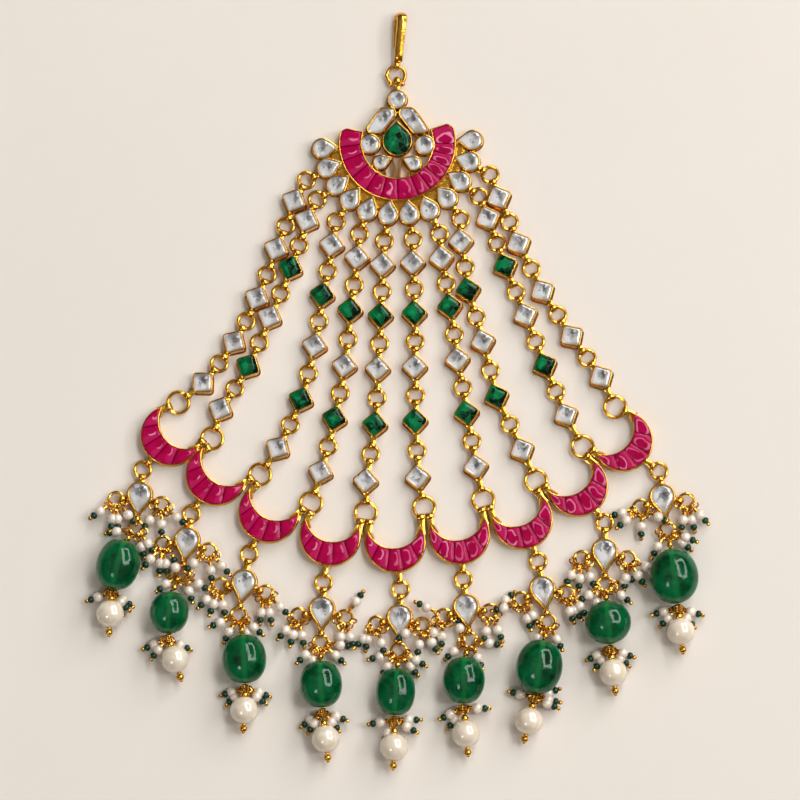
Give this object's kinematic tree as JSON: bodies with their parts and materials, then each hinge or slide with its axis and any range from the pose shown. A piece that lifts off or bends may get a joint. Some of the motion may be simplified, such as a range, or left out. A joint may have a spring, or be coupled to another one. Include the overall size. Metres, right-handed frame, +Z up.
{
  "type": "side head ornament",
  "caption": "Side head ornament: a hook and stone-set medallion from which stone-set chains fan out to enamelled crescents, each with a pear drop, a green bead and a pearl",
  "frame": {"origin": "centre of the medallion's crescent, on the flat back of the settings", "axes": "+X across the ornament, +Y along it towards the hook, +Z up out of the stones"},
  "size_m": [0.1493, 0.1896, 0.0105],
  "materials": {
    "gold": "polished gold plate",
    "magenta_enamel": "glossy enamel",
    "clear_stone": "foil-backed cut glass",
    "green_stone": "foil-backed cut glass",
    "green_bead": "polished translucent bead",
    "pearl": "lustrous pearl"
  },
  "bodies": {
    "root": {"hook": "gold", "top_ring": "gold", "medallion_frame": "gold", "medallion_enamel": "magenta_enamel", "stone_top_round": "clear_stone", "stone_shoulder_left": "clear_stone", "stone_shoulder_right": "clear_stone", "stone_round_left": "clear_stone", "stone_round_right": "clear_stone", "stone_small_pear_left": "clear_stone", "stone_small_pear_right": "clear_stone", "stone_green_pear": "green_stone", "chain_01": "gold", "chain_02": "gold", "chain_03": "gold", "chain_04": "gold", "chain_05": "gold", "chain_06": "gold", "chain_07": "gold", "chain_08": "gold", "chain_09": "gold", "chain_10": "gold", "crescent_1": "gold", "pendant_1": "gold", "green_bead_1": "green_bead", "pearl_1": "pearl", "crescent_2": "gold", "pendant_2": "gold", "green_bead_2": "green_bead", "pearl_2": "pearl", "crescent_3": "gold", "pendant_3": "gold", "green_bead_3": "green_bead", "pearl_3": "pearl", "crescent_4": "gold", "pendant_4": "gold", "green_bead_4": "green_bead", "pearl_4": "pearl", "crescent_5": "gold", "pendant_5": "gold", "green_bead_5": "green_bead", "pearl_5": "pearl", "crescent_6": "gold", "pendant_6": "gold", "green_bead_6": "green_bead", "pearl_6": "pearl", "crescent_7": "gold", "pendant_7": "gold", "green_bead_7": "green_bead", "pearl_7": "pearl", "crescent_8": "gold", "pendant_8": "gold", "green_bead_8": "green_bead", "pearl_8": "pearl", "crescent_9": "gold", "pendant_9": "gold", "green_bead_9": "green_bead", "pearl_9": "pearl"}
  },
  "joints": []
}
